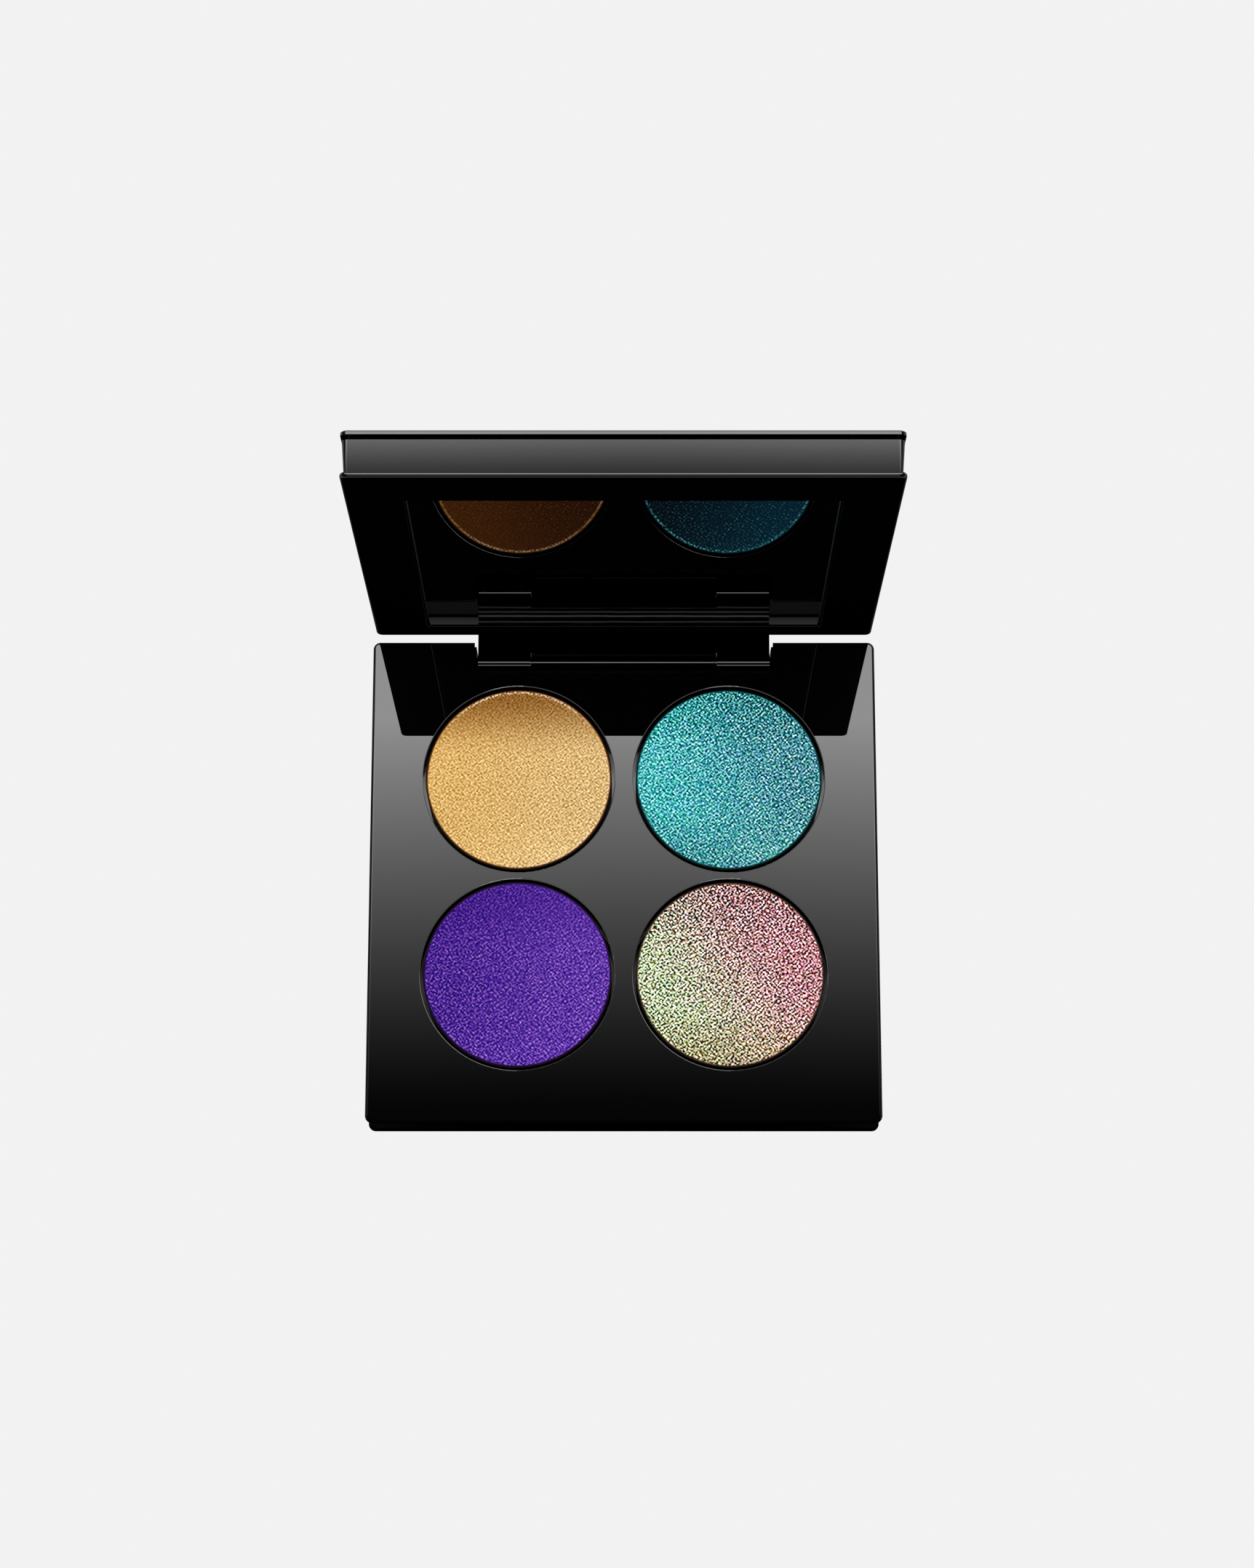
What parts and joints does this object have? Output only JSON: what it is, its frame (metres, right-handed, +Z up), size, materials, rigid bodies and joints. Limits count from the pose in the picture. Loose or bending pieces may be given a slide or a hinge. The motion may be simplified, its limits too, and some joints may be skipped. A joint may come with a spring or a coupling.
{
  "type": "eyeshadow palette",
  "caption": "Square glossy black compact standing open, with round pressed eyeshadow pans in the base and a square mirror in the hinged lid.",
  "frame": {"origin": "centre of the base's outline on the flat underside", "axes": "+X to the user's right, +Y to the hinge at the back, +Z up; the lid stands open at 90 degrees"},
  "size_m": [0.072, 0.0788, 0.0716],
  "materials": {
    "gloss_black": "high gloss, moulded",
    "mirror_glass": "polished, ground edge",
    "adhesive": "double-sided foam tape",
    "magnet": "nickel plated",
    "steel_pin": "drawn steel",
    "tin_pan": "pressed sheet, black lacquer",
    "label": "matt printed film, blank",
    "powder_gold": "pressed shimmer powder",
    "powder_teal": "pressed shimmer powder",
    "powder_purple": "pressed shimmer powder",
    "powder_duochrome": "pressed shimmer powder"
  },
  "bodies": {
    "base": {"base_bottom": "gloss_black", "base_frame": "gloss_black", "base_deck": "gloss_black", "hinge_block": "gloss_black", "underside_label": "label", "pan_adhesives": "adhesive", "base_magnets": "magnet", "pan_gold": "tin_pan", "powder_gold": "powder_gold", "pan_teal": "tin_pan", "powder_teal": "powder_teal", "pan_purple": "tin_pan", "powder_purple": "powder_purple", "pan_duochrome": "tin_pan", "powder_duochrome": "powder_duochrome"},
    "lid": {"lid_frame": "gloss_black", "lid_cover": "gloss_black", "mirror": "mirror_glass", "mirror_adhesive": "adhesive", "lid_magnets": "magnet", "hinge_pin": "steel_pin"}
  },
  "joints": [
    {"name": "lid_hinge", "type": "hinge", "parent": "base", "child": "lid", "pos_m": [0, 0.03285, 0.00395], "axis": [-1, 0, 0], "range_deg": [-90, 10]}
  ]
}
